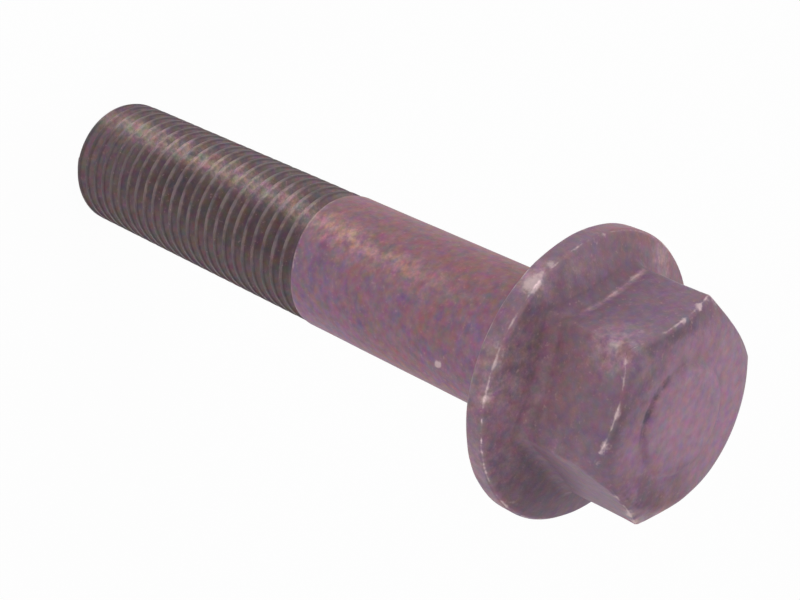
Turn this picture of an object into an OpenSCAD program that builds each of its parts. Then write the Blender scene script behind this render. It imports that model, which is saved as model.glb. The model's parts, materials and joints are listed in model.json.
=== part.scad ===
// Hexagon flange bolt, forged in one piece, with a plain shank and a threaded end.
// +Z runs along the axis through the head. The origin is the centre of the bearing face under the flange.
// The threaded end is drawn at its outside diameter.

/* [Shaft] */
// Length from the bearing face to the end of the point
bolt_l = 68; // [50:0.5:120]
// Diameter of the plain shank
shank_d = 14; // [13:0.1:16]
// Length of the plain shank below the bearing face
shank_l = 31; // [10:0.5:44]
// Outside diameter of the thread
thread_d = 13.8; // [13:0.1:15]
// Length of the bevel from the shank down to the thread
shoulder_l = 0.5; // [0.2:0.1:2]
// Diameter of the flat end of the point
point_d = 12.2; // [10:0.1:12.8]
// Length of the rounded bevel on the point
point_l = 1.3; // [0.5:0.1:3]
// Fillet between the shank and the bearing face
neck_r = 0.8; // [0.3:0.1:2]

/* [Flange] */
// Diameter of the flange
flange_d = 28; // [25:0.1:36]
// Height of the flange's rim above the bearing face, before its edge is rounded
rim_h = 2.2; // [1.5:0.1:3.5]
// Rounding of the rim's upper edge
rim_r = 0.5; // [0.1:0.1:1]
// Bevel of the rim's lower edge
rim_bevel = 0.3; // [0.1:0.1:0.8]
// Slope of the flange's upper face, in degrees
flange_slope = 20; // [10:1:28]

/* [Hexagon] */
// Width of the hexagon across its flats
hex_s = 18.8; // [17:0.1:20.5]
// Height of the hexagon's end face above the bearing face
head_h = 12.7; // [11:0.1:18]
// Rounding of the hexagon's corners
hex_corner_r = 0.6; // [0.3:0.1:2]
// Diameter of the flat end face inside the bevel
face_d = 17.4; // [14:0.1:18.6]
// Angle of the bevel round the end face, in degrees
bevel_angle = 30; // [15:1:40]
// Fillet between the hexagon and the flange
root_r = 1.2; // [0.3:0.1:1.5]

/* [End mark] */
// Diameter of the raised round pad on the end face
pad_d = 10.6; // [5:0.1:13]
// Height of the pad above the end face
pad_h = 0.4; // [0.2:0.1:1]
// Bevel round the pad
pad_bevel = 0.3; // [0.1:0.1:0.8]

/* [Hidden] */
$fn = 96;

finish_colour = [0.42, 0.33, 0.38];
// Number of straight steps in an arc of the section
arc_steps = 6;
// Number of straight steps round each corner of the hexagon
corner_steps = 6;
// How far hidden ends reach into the body that they join
overlap = 1;
// How much steeper than the flange's slope the fillet at the hexagon's foot ends, in degrees
foot_steepness = 10;
// How far the top of that fillet lies inside the hexagon
root_sink = 0.04;
// How much higher that fillet lies at the corners, so that no two of its edges fall together
root_lift = 0.03;
// Angle from one corner of the hexagon to the next
sector = 60;
// Angle of a quarter turn
quarter = 90;

shank_r = shank_d / 2;
thread_r = thread_d / 2;
point_r = point_d / 2;
flange_r = flange_d / 2;
face_r = face_d / 2;
pad_r = pad_d / 2;
apothem = hex_s / 2;
half_sector = sector / 2;
corner_reach = (apothem - hex_corner_r) / cos(half_sector) + hex_corner_r;

// Height of the flange's upper face at a radius
function slope_z(radius) = rim_h + (flange_r - radius) * tan(flange_slope);

// Points on an arc, from one angle to another
function arc(centre, radius, from, to, steps) =
    [for (i = [0:steps])
        let (angle = from + (to - from) * i / steps)
            centre + radius * [cos(angle), sin(angle)]];

// A quarter of an ellipse that rounds the point from its flat end to the thread
function point_curve() =
    [for (i = [0:arc_steps])
        [
            point_r + (thread_r - point_r) * sin(quarter * i / arc_steps),
            point_l * (1 - cos(quarter * i / arc_steps)) - bolt_l
        ]];

// Height of the centre of the rim's rounding, which touches the rim and the sloping face
function rim_centre_z() =
    rim_h - rim_r * (cos(flange_slope) - (1 - sin(flange_slope)) * tan(flange_slope));

// Section of the shaft and the flange, from the axis at the point round to the axis in the head
module shaft_and_flange_section() {
    polygon(concat(
        [[0, -bolt_l]],
        point_curve(),
        [[thread_r, -shank_l - shoulder_l], [shank_r, -shank_l]],
        arc([shank_r + neck_r, -neck_r], neck_r, 2 * quarter, quarter, arc_steps),
        [[flange_r - rim_bevel, 0], [flange_r, rim_bevel]],
        arc([flange_r - rim_r, rim_centre_z()], rim_r, 0, quarter - flange_slope, arc_steps),
        [[0, slope_z(0)]]
    ));
}

// Outline of the hexagon with rounded corners, with a corner on +X
module hexagon_outline() {
    polygon([for (corner = [0:sector:359]) each arc(
        (apothem - hex_corner_r) / cos(half_sector) * [cos(corner), sin(corner)],
        hex_corner_r, corner - half_sector, corner + half_sector, corner_steps
    )]);
}

// Section that bevels the hexagon's corners towards the end face
module bevel_section() {
    polygon([
        [0, 0],
        [hex_s, 0],
        [hex_s, head_h - (hex_s - face_r) * tan(bevel_angle)],
        [face_r, head_h],
        [0, head_h]
    ]);
}

module hexagon() {
    intersection() {
        linear_extrude(head_h + overlap) hexagon_outline();
        rotate_extrude() bevel_section();
    }
}

// Section of the fillet at the hexagon's foot, on a wall at the given distance from the axis, raised by lift.
// It starts just inside the wall, ends a little steeper than the flange's slope, and runs on below the flange's face.
module root_section(wall, lift = 0) {
    last_angle = 3 * quarter - flange_slope - foot_steepness;
    centre_r = apothem + root_r;
    centre_z = slope_z(centre_r) + root_r / cos(flange_slope) + lift;
    curve = arc([wall - root_sink + root_r, centre_z], root_r, 2 * quarter, last_angle, arc_steps);
    foot = curve[arc_steps];
    polygon(concat(
        [[0, 0], [foot[0] + foot[1] * tan(last_angle - 2 * quarter), 0]],
        [for (i = [arc_steps:-1:0]) curve[i]],
        [[0, centre_z]]
    ));
}

// One straight fillet along two opposite flats
module root_along_flats() {
    rotate([quarter, 0, 0])
        linear_extrude(2 * flange_d, center = true) {
            root_section(apothem);
            mirror([1, 0]) root_section(apothem);
        }
}

// The fillet follows the flats, and its corners are rounded as the hexagon's are
module hexagon_root() {
    intersection() {
        rotate(half_sector) root_along_flats();
        rotate(half_sector + sector) root_along_flats();
        rotate(half_sector + 2 * sector) root_along_flats();
        rotate_extrude() root_section(corner_reach, root_lift);
        cylinder(h = head_h, r = flange_r - rim_r);
    }
}

// Raised round pad that the forging die leaves on the end face
module end_pad() {
    rotate_extrude()
        polygon([
            [0, head_h - overlap],
            [pad_r, head_h - overlap],
            [pad_r, head_h],
            [pad_r - pad_bevel, head_h + pad_h],
            [0, head_h + pad_h]
        ]);
}

module flange_bolt() {
    color(finish_colour)
        union() {
            rotate_extrude() shaft_and_flange_section();
            hexagon();
            hexagon_root();
            end_pad();
        }
}

flange_bolt();
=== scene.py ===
"""Looks of a forged hexagon flange bolt: its rolled thread, worn edges and dark mauve finish."""

import json
import math

import bpy
import numpy as np
from mathutils import Matrix, Vector, noise

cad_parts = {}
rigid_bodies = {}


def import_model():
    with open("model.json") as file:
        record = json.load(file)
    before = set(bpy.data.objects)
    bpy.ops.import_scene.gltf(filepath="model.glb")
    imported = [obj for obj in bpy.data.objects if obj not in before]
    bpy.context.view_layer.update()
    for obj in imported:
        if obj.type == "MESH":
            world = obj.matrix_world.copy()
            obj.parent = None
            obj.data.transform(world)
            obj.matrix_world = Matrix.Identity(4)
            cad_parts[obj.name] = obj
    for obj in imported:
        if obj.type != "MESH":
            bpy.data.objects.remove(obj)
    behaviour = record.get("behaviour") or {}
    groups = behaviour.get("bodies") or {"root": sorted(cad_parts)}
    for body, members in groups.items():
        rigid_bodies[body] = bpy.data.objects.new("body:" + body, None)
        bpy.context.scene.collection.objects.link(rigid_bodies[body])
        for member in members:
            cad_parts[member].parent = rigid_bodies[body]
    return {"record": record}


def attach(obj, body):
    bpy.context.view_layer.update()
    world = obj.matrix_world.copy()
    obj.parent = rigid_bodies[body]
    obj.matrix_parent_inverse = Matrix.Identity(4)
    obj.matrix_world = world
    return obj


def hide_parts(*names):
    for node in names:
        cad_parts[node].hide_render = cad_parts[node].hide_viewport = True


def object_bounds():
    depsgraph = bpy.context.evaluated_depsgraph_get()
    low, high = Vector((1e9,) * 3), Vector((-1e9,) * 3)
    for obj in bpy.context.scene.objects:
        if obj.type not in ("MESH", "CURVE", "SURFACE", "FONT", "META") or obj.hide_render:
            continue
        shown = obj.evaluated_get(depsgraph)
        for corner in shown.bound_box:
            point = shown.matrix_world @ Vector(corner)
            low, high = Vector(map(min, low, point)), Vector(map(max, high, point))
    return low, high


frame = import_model()
cad_low, cad_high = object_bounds()

# Sizes in millimetres. Those that the frame holds are read from it, the rest are the part's own.
MM = 0.001
mounts = {mount["name"]: mount for mount in frame["record"]["mounts"]}
shank_r = mounts["shank"]["dims"]["r_mm"]
thread_r = mounts["thread"]["dims"]["r_mm"]
tip_z = cad_low.z / MM
pad_z = cad_high.z / MM
flange_r = cad_high.x / MM
shank_end_z = -31.0
shoulder_l = 0.5
shoulder_top = 0.15
point_r = 6.1
point_l = 1.3
tip_edge = 0.03
neck_r = 0.8
rim_h = 2.2
rim_r = 0.5
rim_foot_h = 0.42
rim_top = 1.5
flange_slope = math.radians(20)
apothem = 9.4
hex_corner_r = 0.6
face_z = 12.7
face_r = 8.7
bevel_angle = math.radians(30)
root_r = 1.2
pad_r = 5.3
# Height of the fillet's top above the flange's slope at the hexagon's wall
fillet_z = root_r / math.cos(flange_slope) - root_r * math.tan(flange_slope)

# Thread, right-hand. Places along its profile are shares of the pitch.
pitch = 1.5
thread_depth = 0.74
crest_half = 0.13
crest_edge = 0.03
flank_middle = 0.20
root_half = 0.085
root_edge = 0.06
thread_phase = 0.41
undercut_r = 6.45
undercut_l = 0.3
undercut_flat = 0.6
undercut_rise = 0.12
# The thread ends a little higher on one side, at an azimuth and over a width in degrees
runout_rise = 0.5
runout_azimuth = 108
runout_width = 45

# Roundings that forging and use leave
edge_r = 0.36
face_blend = 0.5
crown_rise = 0.06
crown_drop = 0.2
pad_edge = 0.4
pad_foot_l = 0.3
pad_foot_h = 0.03
pad_round_l = 0.15
pad_round_h = 0.06

# Mesh: columns round the axis gather at the six corners of the hexagon
COLUMNS_PER_SECTOR = 32
CORNER_GATHER = 0.75
SECTOR = math.pi / 3
share = np.arange(COLUMNS_PER_SECTOR) / COLUMNS_PER_SECTOR
one_sector = SECTOR * (share - CORNER_GATHER * np.sin(2 * math.pi * share) / (2 * math.pi))
angles = np.concatenate([one_sector + SECTOR * corner for corner in range(6)])
COLUMNS = len(angles)
# Angle from the nearest corner to each column
from_corner = (angles + SECTOR / 2) % SECTOR - SECTOR / 2
# Rows of the mesh along each part
SHANK_ROWS = 72
NECK_ROWS = 6
RIM_ROWS = 4
RIM_EDGE_ROWS = 7
SLOPE_ROWS = 12
FILLET_ROWS = 9
FLAT_ROWS = 17
HEXAGON_EDGE_ROWS = 7


def side(azimuth, width):
    """Share in each column that falls off on both sides of an azimuth, in degrees."""
    away = (np.degrees(angles) - azimuth + 180) % 360 - 180
    return np.exp(-((away / width) ** 2))


def strongest(sides):
    """Largest share in each column of several sides, each an azimuth, a width and a strength."""
    return np.maximum.reduce([strength * side(azimuth, width) for azimuth, width, strength in sides])


def slope_z(radius):
    """Height of the flange's upper face."""
    return rim_h + (flange_r - radius) * math.tan(flange_slope)


def hexagon_reach(offset):
    """Distance from the axis to the hexagon's wall in each column, with the wall moved out by offset."""
    wall = apothem + offset
    rounding = hex_corner_r + offset
    centre = (wall - rounding) / math.cos(SECTOR / 2)
    flat = wall / np.cos(SECTOR / 2 - np.abs(from_corner))
    inside = np.maximum(rounding**2 - (centre * np.sin(from_corner)) ** 2, 0)
    corner = centre * np.cos(from_corner) + np.sqrt(inside)
    limit = math.atan2(rounding * math.sin(SECTOR / 2), centre + rounding * math.cos(SECTOR / 2))
    return np.where(np.abs(from_corner) < limit, corner, flat)


def face_height(radius):
    """Height of the end face and of the bevel round it, which run into each other."""
    past = radius - face_r
    blend = np.clip((past + face_blend) / (2 * face_blend), 0, 1)
    soft = face_blend * blend**2
    straight = np.maximum(past - face_blend, 0)
    crown = crown_drop * np.clip((radius - pad_r) / (face_r - pad_r), 0, 1) ** 2
    return face_z + crown_rise - crown - (soft + straight) * math.tan(bevel_angle)


# What each point of the mesh carries for the finish. 0 is none and 1 is full, and a few places have more.
# The darkening mark is painted shade in hollows and on sides turned from the light; the lightening mark is
# partly dust and partly painted highlight and light.
MARKS = ("wear", "thread", "groove", "grime", "dust")


class Rings:
    """Closed rings of points round the axis, each joined to the one before it."""

    def __init__(self):
        self.points = []
        self.faces = []
        self.marks = {name: [] for name in MARKS}
        self.last = None

    def ids(self, radius, height, **marks):
        """Adds a ring's points and returns their numbers."""
        first = len(self.points)
        radius = np.broadcast_to(radius, COLUMNS)
        height = np.broadcast_to(height, COLUMNS)
        ring = np.stack([radius * np.cos(angles), radius * np.sin(angles), height], 1)
        self.points.extend(ring.tolist())
        for name in MARKS:
            self.marks[name].extend(np.broadcast_to(marks.get(name, 0.0), COLUMNS).tolist())
        return list(range(first, first + COLUMNS))

    def point(self, position, **marks):
        """Adds one point and returns its number."""
        self.points.append(list(position))
        for name in MARKS:
            self.marks[name].append(marks.get(name, 0.0))
        return len(self.points) - 1

    def face(self, *corners):
        """Adds a face, without the corners that fall together."""
        kept = [c for i, c in enumerate(corners) if c != corners[i - 1]]
        if len(set(kept)) > 2:
            self.faces.append(kept)

    def join(self, lower, upper):
        for j in range(COLUMNS):
            k = (j + 1) % COLUMNS
            self.face(lower[j], lower[k], upper[k], upper[j])

    def add(self, radius, height, **marks):
        ring = self.ids(radius, height, **marks)
        if self.last is not None:
            self.join(self.last, ring)
        self.last = ring

    def cap(self, height, upwards, **marks):
        """Closes the last ring to a point on the axis."""
        centre = self.point((0, 0, height), **marks)
        for j in range(COLUMNS):
            k = (j + 1) % COLUMNS
            if upwards:
                self.face(self.last[j], self.last[k], centre)
            else:
                self.face(self.last[k], self.last[j], centre)


def point_reach(height):
    """Radius of the rounded point, which is a quarter of an ellipse."""
    rise = min(max((height - tip_z) / point_l, 0), 1)
    return point_r + (thread_r - point_r) * math.sqrt(1 - (1 - rise) ** 2)


def thread_profile():
    """Places along one pitch, each with its depth as a share of the thread's and its wear."""
    flank_end = 0.5 - root_half
    return [
        (-crest_half, 0.0, 0.9),
        (0.0, 0.0, 1.0),
        (crest_half, 0.0, 0.9),
        (crest_half + crest_edge, 0.08, 0.5),
        (flank_middle, 0.36, 0.1),
        (flank_end - root_edge, 0.76, 0.0),
        (flank_end, 0.93, 0.0),
        (0.5, 1.0, 0.0),
        (1 - flank_end, 0.93, 0.0),
        (1 - flank_end + root_edge, 0.76, 0.0),
        (1 - flank_middle, 0.36, 0.1),
        (1 - crest_half - crest_edge, 0.08, 0.5),
    ]


# Dents on the thread's crests: depth, scale of their noise and the value that they start at
CREST_DENTS = ((0.05, 1, 0.1), (0.03, 4, 0.2))
# Scale of that noise round the axis and along it
CREST_NOISE_ROUND = 4
CREST_NOISE_ALONG = 0.6
# Points of the thread this near to the rings at its ends fall together with them
THREAD_MERGE = 0.03


def crest_dent(angle, height):
    """Depth of the dents on the thread's crests."""
    across = CREST_NOISE_ROUND
    spot = Vector((math.cos(angle) * across, math.sin(angle) * across, height * CREST_NOISE_ALONG))
    return sum(depth * max(noise.noise(spot * scale) - start, 0) for depth, scale, start in CREST_DENTS)


def roll_thread(rings, low_z, high_z, high_ring):
    """Winds the thread between the ring at the tip and the one at the shank's end."""
    low_ring = rings.last
    profile = thread_profile()
    steps = len(profile)
    turns_below = 2
    turns = math.ceil((high_z.max() - low_z) / pitch) + turns_below + 1
    table = {}
    for row in range(turns * steps):
        place, depth, wear = profile[row % steps]
        for j, angle in enumerate(angles):
            along = row // steps - turns_below + place + thread_phase + angle / (2 * math.pi)
            height = low_z + pitch * along
            if height < low_z + THREAD_MERGE:
                table[row, j] = low_ring[j]
                continue
            if height > high_z[j] - THREAD_MERGE:
                table[row, j] = high_ring[j]
                continue
            cut = max(depth * thread_depth, crest_dent(angle, height))
            radius = min(thread_r - cut, point_reach(height))
            position = (radius * math.cos(angle), radius * math.sin(angle), height)
            table[row, j] = rings.point(position, wear=wear, thread=1.0, groove=depth)
    for row in range(turns * steps - 1):
        for j in range(COLUMNS):
            right = row
            k = j + 1
            if k == COLUMNS:
                right = row + steps
                k = 0
            lower = table.get((right, k), high_ring[k])
            upper = table.get((right + 1, k), high_ring[k])
            rings.face(table[row, j], lower, upper, table[row + 1, j])
    rings.last = high_ring


def steps_between(first, last, count):
    """Values from first to last, without the first."""
    return [first + (last - first) * i / count for i in range(1, count + 1)]


TIP_RADII = (2.5, 4.6, point_r - 0.1)
TIP_WEAR = 0.4
# Shoulder from the undercut to the shank: radius, height from the shank's end, wear and share of thread
SHOULDER = (
    (thread_r - 0.05, -0.38, 0.5, 0.5),
    (shank_r - 0.05, -0.16, 0.7, 0.0),
    (shank_r, shoulder_top, 0.3, 0.0),
)


def build_shaft(rings):
    """Tip, thread, shoulder and shank, from the tip's centre up to the fillet under the flange."""
    rings.add(TIP_RADII[0], tip_z, thread=1.0)
    rings.cap(tip_z, upwards=False, thread=1.0)
    for radius in TIP_RADII[1:]:
        rings.add(radius, tip_z, thread=1.0)
    thread_z = tip_z + tip_edge
    rings.add(point_r, thread_z, thread=1.0, wear=TIP_WEAR)
    end_z = shank_end_z + runout_rise * side(runout_azimuth, runout_width)
    groove_z = end_z - shoulder_l - undercut_l
    groove_ring = rings.ids(undercut_r, groove_z, thread=1.0, groove=0.9)
    roll_thread(rings, thread_z, groove_z, groove_ring)
    rings.add(undercut_r, groove_z + undercut_l * undercut_flat, thread=1.0, groove=1.0)
    rings.add(undercut_r + undercut_rise, groove_z + undercut_l, thread=1.0, groove=0.8)
    for radius, rise, wear, thread in SHOULDER:
        rings.add(radius, end_z + rise, wear=wear, thread=thread)
    for height in steps_between(end_z + shoulder_top, -neck_r, SHANK_ROWS):
        rings.add(shank_r, height)
    for turn in steps_between(math.pi, math.pi / 2, NECK_ROWS):
        rings.add(shank_r + neck_r + neck_r * math.cos(turn), -neck_r + neck_r * math.sin(turn))


BEARING_RADII = (9.0, 11.0, 12.8, 13.5)
# Worn lower edge of the rim: distance in from the rim, height and wear
RIM_FOOT = (
    (0.32, 0.02, 0.2),
    (0.18, 0.1, 0.6),
    (0.06, 0.24, 0.6),
    (0.0, rim_foot_h, 0.2),
)
RIM_WEAR = 0.75
# Places with painted shade on the flange's slope, which has a little all round: azimuth and width in
# degrees, and strength
SLOPE_SHADE = ((72, 24, 1.0), (2, 18, 0.45), (150, 32, 0.7))
LEAST_SLOPE_SHADE = 0.08
# Wear of the slope next to the rim, and how fast it falls on the way in
SLOPE_WEAR = 0.35
SLOPE_WEAR_FALL = 6


def build_flange(rings):
    """Bearing face, rim and the sloping upper face in to the fillet at the hexagon's foot."""
    for radius in BEARING_RADII:
        rings.add(radius, 0.0)
    for inset, height, wear in RIM_FOOT:
        rings.add(flange_r - inset, height, wear=wear)
    for height in steps_between(rim_foot_h, rim_top, RIM_ROWS):
        rings.add(flange_r, height)
    drop = math.cos(flange_slope) - (1 - math.sin(flange_slope)) * math.tan(flange_slope)
    centre_z = rim_h - rim_r * drop
    last_turn = math.pi / 2 - flange_slope
    for turn in [0, *steps_between(0, last_turn, RIM_EDGE_ROWS)]:
        radius = flange_r - rim_r + rim_r * math.cos(turn)
        worn = math.sin(math.pi * turn / last_turn) ** 2
        rings.add(radius, centre_z + rim_r * math.sin(turn), wear=RIM_WEAR * worn)
    inner = flange_r - rim_r + rim_r * math.cos(last_turn)
    foot = hexagon_reach(root_r * (1 - math.sin(flange_slope)))
    slope_shade = LEAST_SLOPE_SHADE + (1 - LEAST_SLOPE_SHADE) * strongest(SLOPE_SHADE)
    for part in steps_between(0, 1, SLOPE_ROWS)[:-1]:
        radius = inner + (foot - inner) * part
        grime = (0.8 + 0.2 * part) * slope_shade
        wear = SLOPE_WEAR * max(1 - SLOPE_WEAR_FALL * part, 0)
        rings.add(radius, slope_z(radius), grime=grime, wear=wear)


# A bright crease at the top of the fillet under one flat: azimuth, half width and blend in degrees
CREASE_AZIMUTH = 25
CREASE_HALF = 27
CREASE_BLEND = 4
# How far the crease reaches down the fillet, in radians
CREASE_TURN = 0.12
CREASE_WEAR = 0.5
CREASE_PALE = 0.9
# Painted shade in the fillet, less at the crease
FILLET_SHADE = 0.55


def build_fillet(rings):
    """Fillet between the flange and the hexagon, with painted shade down it and the crease at its top."""
    away = np.abs(np.degrees(angles) - CREASE_AZIMUTH)
    creased = np.clip((CREASE_HALF - away) / CREASE_BLEND, 0, 1)
    first_turn = 1.5 * math.pi - flange_slope
    for turn in [first_turn, *steps_between(first_turn, math.pi, FILLET_ROWS)]:
        offset = root_r * (1 + math.cos(turn))
        reach = hexagon_reach(offset)
        height = slope_z(reach) + fillet_z + root_r * math.sin(turn) + offset * math.tan(flange_slope)
        crease = creased * math.exp(-(((turn - math.pi) / CREASE_TURN) ** 2))
        grime = FILLET_SHADE * (1 - crease)
        rings.add(reach, height, grime=grime, wear=CREASE_WEAR * crease, dust=CREASE_PALE * crease)


# Wear of the hexagon's corners, over a width in degrees, and of the edge above them
CORNER_WIDTH = 3.2
CORNER_WEAR = 0.75
UPPER_WEAR = 0.45
UPPER_WEAR_DEPTH = 0.6
ROUNDING_WEAR = 0.4
# Places that are not worn: azimuth and width in degrees, and strength
UNWORN_CORNERS = ((120, 8, 0.7),)
UNWORN_EDGES = ((126, 16, 1.0),)
# Painted shade at the foot of the flats, next to the fillet
FLAT_SHADE = 0.4
# Rows of the flats gather at their top by this power
FLAT_GATHER = 1.5
# Half the length over which the bevel's angle is taken
BEVEL_STEP = 0.01


def build_flats(rings):
    """The six flats and the rounded edge above them. Returns the radius where that edge ends."""
    wall = hexagon_reach(0)
    foot_z = slope_z(wall) + fillet_z
    edge_z = face_height(wall)
    fall = face_height(wall - BEVEL_STEP) - face_height(wall + BEVEL_STEP)
    bevel = np.arctan(fall / (2 * BEVEL_STEP))
    round_z = edge_z + edge_r * np.tan(bevel) - edge_r / np.cos(bevel)
    near_corner = np.exp(-((from_corner / math.radians(CORNER_WIDTH)) ** 2))
    corner_wear = near_corner * (1 - strongest(UNWORN_CORNERS))
    edge_wear = 1 - strongest(UNWORN_EDGES)
    for rise in steps_between(0, 1, FLAT_ROWS):
        part = 1 - (1 - rise) ** FLAT_GATHER
        below = (round_z - foot_z) * (1 - part)
        upper_wear = UPPER_WEAR * edge_wear * np.exp(-((below / UPPER_WEAR_DEPTH) ** 2))
        wear = np.maximum(CORNER_WEAR * corner_wear * (0.3 + 0.7 * part), upper_wear)
        rings.add(wall, round_z - below, wear=wear, grime=FLAT_SHADE * (1 - part) ** 2)
    for part in steps_between(0, 1, HEXAGON_EDGE_ROWS):
        turn = math.pi - part * (math.pi / 2 - bevel)
        inwards = edge_r * (1 + np.cos(turn))
        reach = np.array([hexagon_reach(-inwards[j])[j] for j in range(COLUMNS)])
        wear = edge_wear * ROUNDING_WEAR * (1 + math.sin(math.pi * part))
        rings.add(reach, round_z + edge_r * np.sin(turn), wear=wear)
    return reach


# Rows of the bevel and the end face, as parts of the way from the hexagon's edge in to the pad's foot
FACE_PARTS = (0.03, 0.08, 0.13, 0.19, 0.26, 0.34, 0.44, 0.56, 0.7, 0.85, 0.94, 1.0)
PAD_RADII = (4.2, 3.4, 2.6, 1.8, 1.0)
# Painted shade on the side of the end face turned from the light: on the bevel, inside it, where it starts
# and round the pad: azimuth, width and strength
BEVEL_SHADE = ((32, 34, 1.0), (92, 18, 0.75))
FACE_SHADE = ((68, 42, 0.8), (165, 40, 0.9))
LINE_SHADE = ((158, 24, 1.0),)
PAD_SHADE = ((72, 40, 1.4),)
# Radii where the first two start and their blends, and the width of the line
BEVEL_SHADE_R = 7.6
BEVEL_SHADE_BLEND = 0.8
FACE_SHADE_R = 8.9
FACE_SHADE_BLEND = 0.5
LINE_WIDTH = 0.25
# Parts of the way in where the bevel's painted shade is full and where the pad's starts
BEVEL_SHADE_PART = 0.08
PAD_SHADE_PART = 0.95
PAD_FOOT_SHADE = 0.45
PAD_EDGE_SHADE = 0.3
PAD_TOP_SHADE = 0.5
# How much less painted shade there is at the pad's foot than at the edge
FACE_SHADE_LOSS = 0.35
# Wear of the bevel next to the edge, and how fast it falls on the way in
BEVEL_WEAR = 0.5
BEVEL_WEAR_FALL = 5


def face_shade(radius, part):
    """Painted shade at a part of the way in from the hexagon's edge to the pad's foot."""
    outside = np.clip((radius - BEVEL_SHADE_R) / BEVEL_SHADE_BLEND, 0, 1) * min(part / BEVEL_SHADE_PART, 1)
    inside = np.clip((FACE_SHADE_R - radius) / FACE_SHADE_BLEND, 0, 1)
    near_line = np.exp(-(((radius - face_r) / LINE_WIDTH) ** 2))
    shaded = np.maximum.reduce([
        outside * strongest(BEVEL_SHADE),
        near_line * strongest(LINE_SHADE),
        inside * strongest(FACE_SHADE),
    ])
    near_pad = max(part - PAD_SHADE_PART, 0) / (1 - PAD_SHADE_PART)
    return np.maximum(shaded * (1 - FACE_SHADE_LOSS * part**2), near_pad * strongest(PAD_SHADE))


def build_end_face(rings, edge_reach):
    """Bevel and end face in from the hexagon's edge, and the raised pad."""
    pad_foot_r = pad_r + pad_foot_l
    for part in FACE_PARTS:
        radius = edge_reach + (pad_foot_r - edge_reach) * part
        wear = max(BEVEL_WEAR - BEVEL_WEAR_FALL * part, 0)
        rings.add(radius, face_height(radius), grime=face_shade(radius, part), wear=wear)
    foot_z = face_z + crown_rise
    # Painted shade round the pad's foot and over the pad, darker on the side turned from the light
    pad_arc = strongest(PAD_SHADE)
    top_shade = PAD_TOP_SHADE * strongest(FACE_SHADE)
    rings.add(pad_r, foot_z + pad_foot_h, grime=np.maximum(pad_arc, PAD_FOOT_SHADE))
    rings.add(pad_r - pad_edge / 2, (foot_z + pad_z) / 2, grime=np.maximum(0.5 * pad_arc, PAD_FOOT_SHADE))
    rings.add(pad_r - pad_edge, pad_z - pad_round_h, grime=np.maximum(PAD_EDGE_SHADE, top_shade))
    rings.add(pad_r - pad_edge - pad_round_l, pad_z, grime=top_shade)
    for radius in PAD_RADII:
        rings.add(radius, pad_z, grime=top_shade * (radius / pad_r) ** 2)
    rings.cap(pad_z, upwards=True)


# Places on the surface: azimuth in degrees, radius, height and reach in millimetres, and strength
WORN_SPOTS = (
    (57, 13.9, 1.8, 0.7, 0.9),
    (54, 13.9, 1.8, 0.8, 1.1),
    (50, 13.9, 1.8, 0.8, 0.9),
    (45, 13.9, 1.8, 0.7, 0.8),
    (17, 13.7, 2.0, 0.5, 1.2),
    (24, 13.7, 2.0, 0.5, 0.9),
    (31, 13.7, 2.0, 0.5, 0.9),
    (79, 13.8, 1.9, 0.7, 0.8),
    (99, 13.8, 1.9, 0.7, 0.8),
    (119, 7.0, -10.1, 0.48, 1.5),
    (63, 10.4, 11.5, 0.8, 1.1),
    (57, 10.6, 10.2, 1.2, 0.65),
    (70, 9.8, 11.8, 0.5, 1.1),
    (106, 9.6, 12.0, 0.8, 1.1),
    (88, 9.2, 12.2, 0.5, 0.9),
    (8, 10.2, 11.8, 0.6, 1.1),
    (20, 9.7, 12.1, 0.5, 1.0),
    (38, 9.6, 12.1, 0.6, 1.0),
    (162, 9.9, 11.8, 0.5, 0.8),
    (168, 10.2, 11.7, 0.5, 0.9),
    (174, 10.5, 11.5, 0.5, 0.9),
)
# Lighter spots; the painted highlights and painted light among them are marked below
DUST_AND_LIGHT_SPOTS = (
    # On the shank: three lighter spots, the first two a painted highlight on the streak
    (62.5, 7.0, -28.4, 0.7, 1.2),
    (53.6, 7.0, -25.3, 1.1, 1.5),
    (75.2, 7.0, -13.9, 0.5, 1.0),
    # Lighter patches at two of the hexagon's corners
    (58, 10.7, 9.8, 2.3, 1.3),
    (121, 10.7, 8.0, 2.2, 0.4),
    # Painted light on the bevel at the bottom corner
    (168, 9.9, 12.1, 0.8, 2.2),
    (180, 9.9, 12.1, 0.9, 2.2),
    (192, 9.5, 12.3, 0.7, 1.8),
    # Lighter places on the rim
    (52, 14.0, 0.9, 2.2, 0.8),
    (95, 14.0, 0.6, 6.0, 0.6),
    (128, 14.0, 0.6, 5.0, 0.5),
    # Painted light on the flange's slope
    (-22, 12.6, 2.7, 2.2, 0.9),
    (40, 12.6, 2.7, 2.0, 0.3),
)

# A painted highlight along the shaft, a lighter streak: its height, its azimuth in degrees and its
# strength
STREAK_HEIGHTS = (-68, -62, -45, -36, -31, -26, -16, -6)
STREAK_AZIMUTHS = (40, 41, 43, 46, 51, 56, 60, 60)
STREAK_STRENGTHS = (0.7, 1.25, 1.15, 1.0, 0.8, 1.0, 0.5, 0)
STREAK_WIDTH = 12
# Painted light in the grooves and painted shade on the crests dull the thread's lines near the tip, up to
# a height and over a length
DULL_END = -55
DULL_LENGTH = 11
# They are also dull beside the streak: degrees from it to the middle, half width and strength
DULL_SIDES = ((-80, 75, 0.95), (110, 60, 1.0))
DULL_BLEND = 25

# The forging die sat a little to one side, so the hexagon is off the axis, but the pad is not
HEXAGON_SHIFT = (0.29, -0.34)
# The shift grows over a height on the flange's slope, and over a length on the end face from near the pad
SHIFT_HEIGHT = 1.2
SHIFT_LENGTH = 2.5
SHIFT_FROM_PAD = 0.5
# Points above this height belong to the end face
SHIFT_FACE_Z = face_z - 0.5


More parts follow.
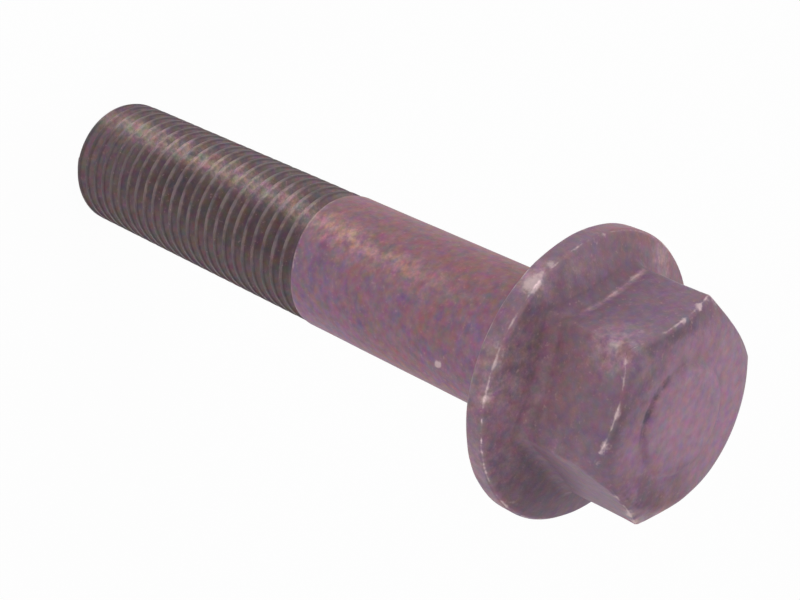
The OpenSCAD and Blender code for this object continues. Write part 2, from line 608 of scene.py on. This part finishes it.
def shift_hexagon(points):
    """Moves the hexagon to one side, with the flange's slope and the end face drawn along."""
    radius = np.hypot(points[:, 0], points[:, 1])
    on_slope = np.clip((points[:, 2] - rim_h) / SHIFT_HEIGHT, 0, 1)
    on_face = np.clip((radius - pad_r - SHIFT_FROM_PAD) / SHIFT_LENGTH, 0, 1)
    moved = np.where(points[:, 2] > SHIFT_FACE_Z, on_face, on_slope)
    points[:, :2] += np.outer(moved, HEXAGON_SHIFT)
    return points


def surface_point(azimuth, radius, height):
    turn = math.radians(azimuth)
    return np.array([radius * math.cos(turn), radius * math.sin(turn), height])


def spot_marks(points, spots):
    """Strength of the nearest spots at each point."""
    marks = np.zeros(len(points))
    for azimuth, radius, height, reach, strength in spots:
        distance = np.linalg.norm(points - surface_point(azimuth, radius, height), axis=1)
        marks = np.maximum(marks, strength * np.exp(-((distance / reach) ** 2)))
    return marks


def from_streak(points):
    """Degrees from the streak's middle to each point."""
    azimuth = np.degrees(np.arctan2(points[:, 1], points[:, 0]))
    return (azimuth - np.interp(points[:, 2], STREAK_HEIGHTS, STREAK_AZIMUTHS) + 180) % 360 - 180


def streak_marks(points):
    """Strength of the painted highlight streak along the shaft at each point."""
    strength = np.interp(points[:, 2], STREAK_HEIGHTS, STREAK_STRENGTHS)
    return strength * np.exp(-((from_streak(points) / STREAK_WIDTH) ** 2))


def dull_marks(points):
    """How far painted light and shade dull the thread's lines, near the tip and on both sides of the
    streak.
    """
    marks = np.clip((DULL_END - points[:, 2]) / DULL_LENGTH, 0, 1)
    across = from_streak(points)
    for middle, half, strength in DULL_SIDES:
        beside = np.clip((half - np.abs(across - middle)) / DULL_BLEND, 0, 1)
        marks = np.maximum(marks, strength * beside)
    return marks


def build_bolt():
    rings = Rings()
    build_shaft(rings)
    build_flange(rings)
    build_fillet(rings)
    edge_reach = build_flats(rings)
    build_end_face(rings, edge_reach)
    points = shift_hexagon(np.array(rings.points))
    mesh = bpy.data.meshes.new("bolt")
    mesh.from_pydata((points * MM).tolist(), [], rings.faces)
    marks = {name: np.array(values) for name, values in rings.marks.items()}
    marks["wear"] = np.maximum(marks["wear"], spot_marks(points, WORN_SPOTS))
    # Dust, and painted highlights and light, from the streak and the spots
    dusted_and_lit = np.maximum(streak_marks(points), spot_marks(points, DUST_AND_LIGHT_SPOTS))
    marks["dust"] = np.maximum(marks["dust"], dusted_and_lit)
    # Where painted light and shade dull the thread's lines
    marks["dull"] = dull_marks(points)
    for name, values in marks.items():
        attribute = mesh.attributes.new(name, "FLOAT", "POINT")
        attribute.data.foreach_set("value", values)
    mesh.shade_smooth()
    bolt = bpy.data.objects.new("bolt", mesh)
    bpy.context.scene.collection.objects.link(bolt)
    return bolt


# Dents and waves of the forging, in millimetres, always inwards
FORGE_DEPTH = 0.05
FORGE_SCALE = 0.28
WAVE_DEPTH = 0.07
WAVE_SCALE = 0.09
WAVE_PLACE = Vector((7, 3, 1))
# Worn edges are more uneven
CHIP_DEPTH = 0.16
CHIP_SCALE = 0.45
CHIP_PLACE = Vector((2, 9, 4))
# Below the flange the dents are shallower and there are no waves or chips
SHANK_DENTS = 0.5
# Corners of the head flattened by blows: azimuth and tilt in degrees, and depth
BRUISES = (
    (62, 42, 0.35),
    (129, 28, 0.75),
)
# Share of what lies past a blow's plane that it presses in, and the height above which it reaches
BRUISE_SHARE = 0.85
BRUISE_LOW_Z = 5


def noise_share(spot):
    return 0.5 + 0.5 * noise.noise(spot)


def forge_surface(bolt):
    """Presses soft dents into the head and shank, and leaves the thread and the tip as they are."""
    mesh = bolt.data
    count = len(mesh.vertices)
    places = np.empty(count * 3)
    normals = np.empty(count * 3)
    thread = np.empty(count)
    wear = np.empty(count)
    mesh.vertices.foreach_get("co", places)
    mesh.vertices.foreach_get("normal", normals)
    mesh.attributes["thread"].data.foreach_get("value", thread)
    mesh.attributes["wear"].data.foreach_get("value", wear)
    places = places.reshape(-1, 3)
    normals = normals.reshape(-1, 3)
    in_hexagon = places[:, 2] > BRUISE_LOW_Z * MM
    for azimuth, tilt, depth in BRUISES:
        blow = math.radians(tilt)
        outwards = surface_point(azimuth, math.cos(blow), math.sin(blow))
        along = places @ outwards / MM
        past = np.maximum(along - along[in_hexagon].max() + depth, 0) * in_hexagon
        places -= np.outer(past * BRUISE_SHARE * MM, outwards)
    for i in np.nonzero(thread == 0)[0]:
        spot = Vector(places[i] / MM)
        dent = FORGE_DEPTH * noise_share(spot * FORGE_SCALE)
        wave = WAVE_DEPTH * noise_share(spot * WAVE_SCALE + WAVE_PLACE)
        chip = CHIP_DEPTH * wear[i] * noise_share(spot * CHIP_SCALE + CHIP_PLACE)
        if spot.z < 0:
            wave = 0
            chip = 0
            dent = dent * SHANK_DENTS
        places[i] -= normals[i] * (dent + wave + chip) * MM
    mesh.vertices.foreach_set("co", places.ravel())
    mesh.update()


# Materials


def add_node(tree, kind, links=None, **settings):
    """Adds a node, sets its own values and joins or sets its inputs by name."""
    node = tree.nodes.new(kind)
    for name, value in settings.items():
        setattr(node, name, value)
    for name, value in (links or {}).items():
        if isinstance(value, bpy.types.NodeSocket):
            tree.links.new(value, node.inputs[name])
        else:
            node.inputs[name].default_value = value
    return node


def noise_value(tree, place, scale, detail, roughness):
    node = add_node(
        tree,
        "ShaderNodeTexNoise",
        {"Vector": place, "Scale": scale, "Detail": detail, "Roughness": roughness},
    )
    return node.outputs["Fac"]


def step_value(tree, value, low, high):
    """0 below low, 1 above high, smooth between."""
    node = add_node(
        tree,
        "ShaderNodeMapRange",
        {"Value": value, "From Min": low, "From Max": high},
        interpolation_type="SMOOTHSTEP",
    )
    return node.outputs["Result"]


def fill_sockets(tree, sockets, values):
    """Joins or sets each socket by its value."""
    for socket, value in zip(sockets, values):
        if isinstance(value, bpy.types.NodeSocket):
            tree.links.new(value, socket)
        else:
            socket.default_value = value


def maths(tree, operation, first, second):
    node = add_node(tree, "ShaderNodeMath", operation=operation)
    fill_sockets(tree, node.inputs, (first, second))
    return node.outputs[0]


def mix_colours(tree, factor, first, second, blend="MIX"):
    node = add_node(tree, "ShaderNodeMix", data_type="RGBA", blend_type=blend)
    fill_sockets(tree, (node.inputs[0], node.inputs[6], node.inputs[7]), (factor, first, second))
    return node.outputs[2]


def mix_values(tree, factor, first, second):
    node = add_node(tree, "ShaderNodeMix", {"Factor": factor, "A": first, "B": second}, data_type="FLOAT")
    return node.outputs["Result"]


# Colours of the finish
MAUVE = (0.300, 0.162, 0.240, 1)
BROWN = (0.310, 0.157, 0.190, 1)
# Painted light: warmer tint on the shank's side towards the key lamp
LIT_SIDE_TINT = (0.305, 0.142, 0.148, 1)
PURPLE = (0.232, 0.132, 0.220, 1)
HEAD_GREY = (0.255, 0.158, 0.215, 1)
# Painted light: the end face, which faces the lamps, painted lighter
END_FACE_PAINTED_LIGHT = (0.430, 0.245, 0.345, 1)
# Painted shade
PAINTED_SHADE = (0.110, 0.068, 0.100, 1)
OLIVE = (0.145, 0.100, 0.100, 1)
THREAD_DARK = (0.112, 0.074, 0.088, 1)
GROOVE = (0.135, 0.092, 0.102, 1)
# Painted shade on the crests and painted light in the grooves, where the thread's lines are dulled
CREST_PAINTED_SHADE = (0.107, 0.075, 0.084, 1)
GROOVE_PAINTED_LIGHT = (0.245, 0.168, 0.183, 1)
# Painted highlight on the shank and the thread, with painted light in the grooves; dust and painted light
# on the head
SHANK_SHEEN = (0.575, 0.335, 0.330, 1)
HEAD_DUST_AND_LIGHT = (0.480, 0.305, 0.355, 1)
THREAD_SHEEN = (0.430, 0.315, 0.300, 1)
GROOVE_SHEEN = (0.600, 0.450, 0.430, 1)
SPECK = (0.480, 0.350, 0.350, 1)
BARE_STEEL = (0.660, 0.500, 0.500, 1)

# Noises in the finish: scale per metre, detail and roughness
LARGE_NOISE = (110.0, 3.0, 0.6)
BLOTCH_NOISE = (420.0, 5.0, 0.65)
PATCH_NOISE = (650.0, 4.0, 0.6)
GRAIN_NOISE = (2400.0, 3.0, 0.7)
TINT_SCALE = 1200.0
TINT_DETAIL = 4.0
# Where the head, the shank's side towards the key lamp, which is painted warmer, and the end face begin
# and are full, in metres
HEAD_HEIGHTS = (-0.002, 0.001)
LIT_SIDE = (0.001, 0.0065)
FACE_HEIGHTS = (0.0121, 0.0127)
# Values of a noise or mark where each layer begins and is full
BROWN_STEP = (0.45, 0.7)
STAIN_STEP = (0.50, 0.72)
SHADE_STEP = (0.2, 0.55)
ROLLED_STEP = (0.4, 0.65)
GROOVE_STEP = (0.3, 1.0)
EVENED_STEP = (0.02, 0.4)
GROOVE_SHEEN_STEP = (0.2, 0.9)
GRAINY_STEP = (0.4, 0.65)
SPECK_STEP = (0.60, 0.74)
RUB_STEP = (0.5, 1.15)
# Dust and painted highlights begin at one value on the plain parts and at another on the thread
DUST_AND_SHEEN_PLAIN = 0.3
DUST_AND_SHEEN_THREAD = 0.1
DUST_AND_SHEEN_FULL = 0.6
# Strength of each layer
GRAINY_LEAST = 0.7
GRAINY_MOST = 1.15
FACE_STAINS = 0.4
LIT_TINT = 0.65
SHADE_STRENGTH = 0.85
SOLID_SHADE = 0.6
SPECKS = 0.4
TINT_SHAFT = 0.6
TINT_HEAD = 0.45
# Wear: how much the noise breaks it up, and how bare it leaves the plain parts and the thread
UNEVEN_WEAR = 3.0
BARE_PLAIN = 0.75
BARE_THREAD = 0.15
# Roughness of the finish from matt to oily and of bare steel, and the share of metal in bare steel
MATT = 0.62
OILY = 0.42
BARE_ROUGHNESS = 0.36
BARE_METAL = 0.6
SPECULAR = 0.25
# Pits: strength, depth in metres and the share of the blotches in them
PIT_STRENGTH = 0.6
PIT_DEPTH = 0.00015
PIT_BLOTCHES = 0.4


def mark_value(tree, name):
    return add_node(tree, "ShaderNodeAttribute", attribute_name=name).outputs["Fac"]


def plain_colour(tree, place, axes, blotch, head):
    """Phosphate on the shank and the head, with stains, painted light on the end face, a painted warm tint
    on the shank's side towards the key lamp, and painted shade broken up like dirt.
    """
    end_face = step_value(tree, axes["Z"], *FACE_HEIGHTS)
    colour = mix_colours(tree, head, MAUVE, HEAD_GREY)
    # Painted light on the end face
    colour = mix_colours(tree, end_face, colour, END_FACE_PAINTED_LIGHT)
    large = noise_value(tree, place, *LARGE_NOISE)
    colour = mix_colours(tree, step_value(tree, large, *BROWN_STEP), colour, BROWN)
    stain_strength = mix_values(tree, end_face, 1.0, FACE_STAINS)
    stained = maths(tree, "MULTIPLY", step_value(tree, blotch, *STAIN_STEP), stain_strength)
    colour = mix_colours(tree, stained, colour, PURPLE)
    # Painted light: the shank's side towards the key lamp is tinted warmer
    lit_share = step_value(tree, axes["X"], *LIT_SIDE)
    lit_tint_share = maths(tree, "MULTIPLY", lit_share, maths(tree, "SUBTRACT", 1.0, head))
    colour = mix_colours(tree, maths(tree, "MULTIPLY", lit_tint_share, LIT_TINT), colour, LIT_SIDE_TINT)
    # Painted shade: broken up by the blotches like dirt, and solid where the mark is strong
    grime = mark_value(tree, "grime")
    shaded = maths(tree, "MULTIPLY", grime, step_value(tree, blotch, *SHADE_STEP))
    shaded = maths(tree, "MAXIMUM", shaded, maths(tree, "SUBTRACT", grime, SOLID_SHADE))
    return mix_colours(tree, maths(tree, "MULTIPLY", shaded, SHADE_STRENGTH), colour, PAINTED_SHADE)


def thread_colour(tree, blotch, groove, dull):
    """Phosphate on the rolled thread, and the painted light in the grooves and painted shade on the crests
    that dull its lines.
    """
    rolled = mix_colours(tree, step_value(tree, blotch, *ROLLED_STEP), OLIVE, THREAD_DARK)
    rolled = mix_colours(tree, step_value(tree, groove, *GROOVE_STEP), rolled, GROOVE)
    # Painted light in the grooves and painted shade on the crests
    evened = mix_colours(tree, step_value(tree, groove, *EVENED_STEP), CREST_PAINTED_SHADE, GROOVE_PAINTED_LIGHT)
    return mix_colours(tree, dull, rolled, evened)


def dust_and_sheen_layer(tree, patch, grain, head, thread, groove):
    """How far dust and painted highlights and light cover the finish, and their colour."""
    pale = mix_colours(tree, head, SHANK_SHEEN, HEAD_DUST_AND_LIGHT)
    # Painted highlight on the thread, lighter still in the grooves
    lit_thread = mix_colours(tree, step_value(tree, groove, *GROOVE_SHEEN_STEP), THREAD_SHEEN, GROOVE_SHEEN)
    pale = mix_colours(tree, thread, pale, lit_thread)
    spread = step_value(tree, patch, mix_values(tree, thread, DUST_AND_SHEEN_PLAIN, DUST_AND_SHEEN_THREAD), DUST_AND_SHEEN_FULL)
    grainy = mix_values(tree, step_value(tree, grain, *GRAINY_STEP), GRAINY_LEAST, GRAINY_MOST)
    spread = maths(tree, "MULTIPLY", spread, grainy)
    return maths(tree, "MULTIPLY", mark_value(tree, "dust"), spread), pale


def forged_steel():
    """Dark phosphate and oil over forged steel, worn through on the edges."""
    material = bpy.data.materials.new("forged_steel")
    material.use_nodes = True
    tree = material.node_tree
    shader = tree.nodes["Principled BSDF"]
    place = add_node(tree, "ShaderNodeTexCoord").outputs["Object"]
    axes = add_node(tree, "ShaderNodeSeparateXYZ", {"Vector": place}).outputs
    head = step_value(tree, axes["Z"], *HEAD_HEIGHTS)
    thread = mark_value(tree, "thread")
    groove = mark_value(tree, "groove")
    dull = mark_value(tree, "dull")
    blotch = noise_value(tree, place, *BLOTCH_NOISE)
    patch = noise_value(tree, place, *PATCH_NOISE)
    grain = noise_value(tree, place, *GRAIN_NOISE)

    plain = plain_colour(tree, place, axes, blotch, head)
    colour = mix_colours(tree, thread, plain, thread_colour(tree, blotch, groove, dull))
    dusted_and_lit, pale = dust_and_sheen_layer(tree, patch, grain, head, thread, groove)
    colour = mix_colours(tree, dusted_and_lit, colour, pale)
    tint_inputs = {"Vector": place, "Scale": TINT_SCALE, "Detail": TINT_DETAIL}
    tint = add_node(tree, "ShaderNodeTexNoise", tint_inputs)
    tinted = mix_values(tree, head, TINT_SHAFT, TINT_HEAD)
    colour = mix_colours(tree, tinted, colour, tint.outputs["Color"], "OVERLAY")
    speck = maths(tree, "MULTIPLY", step_value(tree, grain, *SPECK_STEP), SPECKS)
    colour = mix_colours(tree, speck, colour, SPECK)

    uneven = maths(tree, "MULTIPLY", maths(tree, "SUBTRACT", patch, 0.5), UNEVEN_WEAR)
    rub = step_value(tree, maths(tree, "ADD", mark_value(tree, "wear"), uneven), *RUB_STEP)
    bare_thread = maths(tree, "MULTIPLY", maths(tree, "SUBTRACT", 1.0, dull), BARE_THREAD)
    rub = maths(tree, "MULTIPLY", rub, mix_values(tree, thread, BARE_PLAIN, bare_thread))
    colour = mix_colours(tree, rub, colour, BARE_STEEL)
    tree.links.new(colour, shader.inputs["Base Color"])

    finish_roughness = mix_values(tree, blotch, MATT, OILY)
    roughness = mix_values(tree, rub, finish_roughness, BARE_ROUGHNESS)
    tree.links.new(roughness, shader.inputs["Roughness"])
    tree.links.new(maths(tree, "MULTIPLY", rub, BARE_METAL), shader.inputs["Metallic"])

    pits = mix_values(tree, PIT_BLOTCHES, grain, blotch)
    pitted = {"Height": pits, "Strength": PIT_STRENGTH, "Distance": PIT_DEPTH}
    bump = add_node(tree, "ShaderNodeBump", pitted)
    tree.links.new(bump.outputs["Normal"], shader.inputs["Normal"])
    shader.inputs["Specular IOR Level"].default_value = SPECULAR
    return material


# Studio. Lengths in metres.

FLOOR_HALF = 3.0
# Share of the floor that takes the shadow where the camera sees it
FLOOR_SHARE = 0.03
FLOOR_COLOUR = (0.9, 0.9, 0.9, 1)
WHITE = (1, 1, 1, 1)
WORLD_LIGHT = 0.18
LAMP_DISTANCE = 0.6
LAMP_SIZE = 0.35
# Each lamp's name, azimuth and elevation in degrees, and power in watts
LAMPS = (
    ("key", 18, 15, 1.4),
    ("side", -65, 45, 0.74),
    ("fill", 140, 20, 1.3),
    ("top", 0, 60, 0.5),
)


def unlit_share(tree):
    """1 for rays from the camera and for mirrored or refracted ones, 0 for those that carry light."""
    path = add_node(tree, "ShaderNodeLightPath")
    mirrored = maths(tree, "MAXIMUM", path.outputs["Is Glossy Ray"], path.outputs["Is Transmission Ray"])
    return maths(tree, "MAXIMUM", path.outputs["Is Camera Ray"], mirrored)


def build_floor():
    """White floor under the tip. The camera sees it mostly as plain white, with a little of the shadow."""
    z = cad_low.z
    corners = [(-FLOOR_HALF, -FLOOR_HALF, z), (FLOOR_HALF, -FLOOR_HALF, z)]
    corners += [(FLOOR_HALF, FLOOR_HALF, z), (-FLOOR_HALF, FLOOR_HALF, z)]
    mesh = bpy.data.meshes.new("floor")
    mesh.from_pydata(corners, [], [(0, 1, 2, 3)])
    floor = bpy.data.objects.new("floor", mesh)
    bpy.context.scene.collection.objects.link(floor)
    material = bpy.data.materials.new("floor_white")
    material.use_nodes = True
    tree = material.node_tree
    tree.nodes.clear()
    diffuse = add_node(tree, "ShaderNodeBsdfDiffuse", {"Color": FLOOR_COLOUR})
    white = add_node(tree, "ShaderNodeEmission", {"Color": WHITE, "Strength": 1.0})
    share_white = maths(tree, "MULTIPLY", unlit_share(tree), 1 - FLOOR_SHARE)
    mixed = add_node(tree, "ShaderNodeMixShader", {"Fac": share_white})
    tree.links.new(diffuse.outputs[0], mixed.inputs[1])
    tree.links.new(white.outputs[0], mixed.inputs[2])
    output = add_node(tree, "ShaderNodeOutputMaterial")
    tree.links.new(mixed.outputs[0], output.inputs["Surface"])
    mesh.materials.append(material)


def build_world():
    world = bpy.data.worlds.new("studio")
    bpy.context.scene.world = world
    world.use_nodes = True
    tree = world.node_tree
    background = tree.nodes["Background"]
    background.inputs["Color"].default_value = WHITE
    strength = mix_values(tree, unlit_share(tree), WORLD_LIGHT, 1.0)
    tree.links.new(strength, background.inputs["Strength"])


def direction(azimuth, elevation):
    """Unit vector outwards at an azimuth and an elevation in degrees."""
    turn = math.radians(azimuth)
    rise = math.radians(elevation)
    return Vector((math.cos(rise) * math.cos(turn), math.cos(rise) * math.sin(turn), math.sin(rise)))


def add_lamp(name, azimuth, elevation, power):
    """A square soft lamp, aimed at the middle of the bolt."""
    middle = (cad_low + cad_high) / 2
    back = direction(azimuth, elevation)
    data = bpy.data.lights.new(name, "AREA")
    data.size = LAMP_SIZE
    data.energy = power
    lamp = bpy.data.objects.new(name, data)
    lamp.location = middle + back * LAMP_DISTANCE
    lamp.rotation_euler = back.to_track_quat("Z", "Y").to_euler()
    bpy.context.scene.collection.objects.link(lamp)


# Camera, matched to the photograph. Angles in degrees, lengths in millimetres.
CAMERA_AZIMUTH = 75.815
CAMERA_ELEVATION = 40.290
CAMERA_ROLL = 115.215
CAMERA_DISTANCE = 184.22
CAMERA_AIM = (-0.933, 0.235, -21.829)
CAMERA_LENS = 84.70
SENSOR_WIDTH = 36.0
# Nearest distance that is drawn, in metres
CLIP_START = 0.01


def build_camera():
    turn = math.radians(CAMERA_AZIMUTH)
    back = direction(CAMERA_AZIMUTH, CAMERA_ELEVATION)
    right = Vector((-math.sin(turn), math.cos(turn), 0))
    up = back.cross(right)
    level = Matrix((right, up, back)).transposed()
    rolled = level @ Matrix.Rotation(math.radians(CAMERA_ROLL), 3, "Z")
    data = bpy.data.cameras.new("camera")
    data.lens = CAMERA_LENS
    data.sensor_width = SENSOR_WIDTH
    data.clip_start = CLIP_START
    camera = bpy.data.objects.new("camera", data)
    camera.location = (Vector(CAMERA_AIM) + back * CAMERA_DISTANCE) * MM
    camera.rotation_euler = rolled.to_euler()
    bpy.context.scene.collection.objects.link(camera)
    bpy.context.scene.camera = camera


bpy.context.scene.view_settings.view_transform = "Standard"
bolt = build_bolt()
forge_surface(bolt)
bolt.data.materials.append(forged_steel())
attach(bolt, "root")
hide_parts("flange_bolt")
build_floor()
build_world()
for name, azimuth, elevation, power in LAMPS:
    add_lamp(name, azimuth, elevation, power)
build_camera()
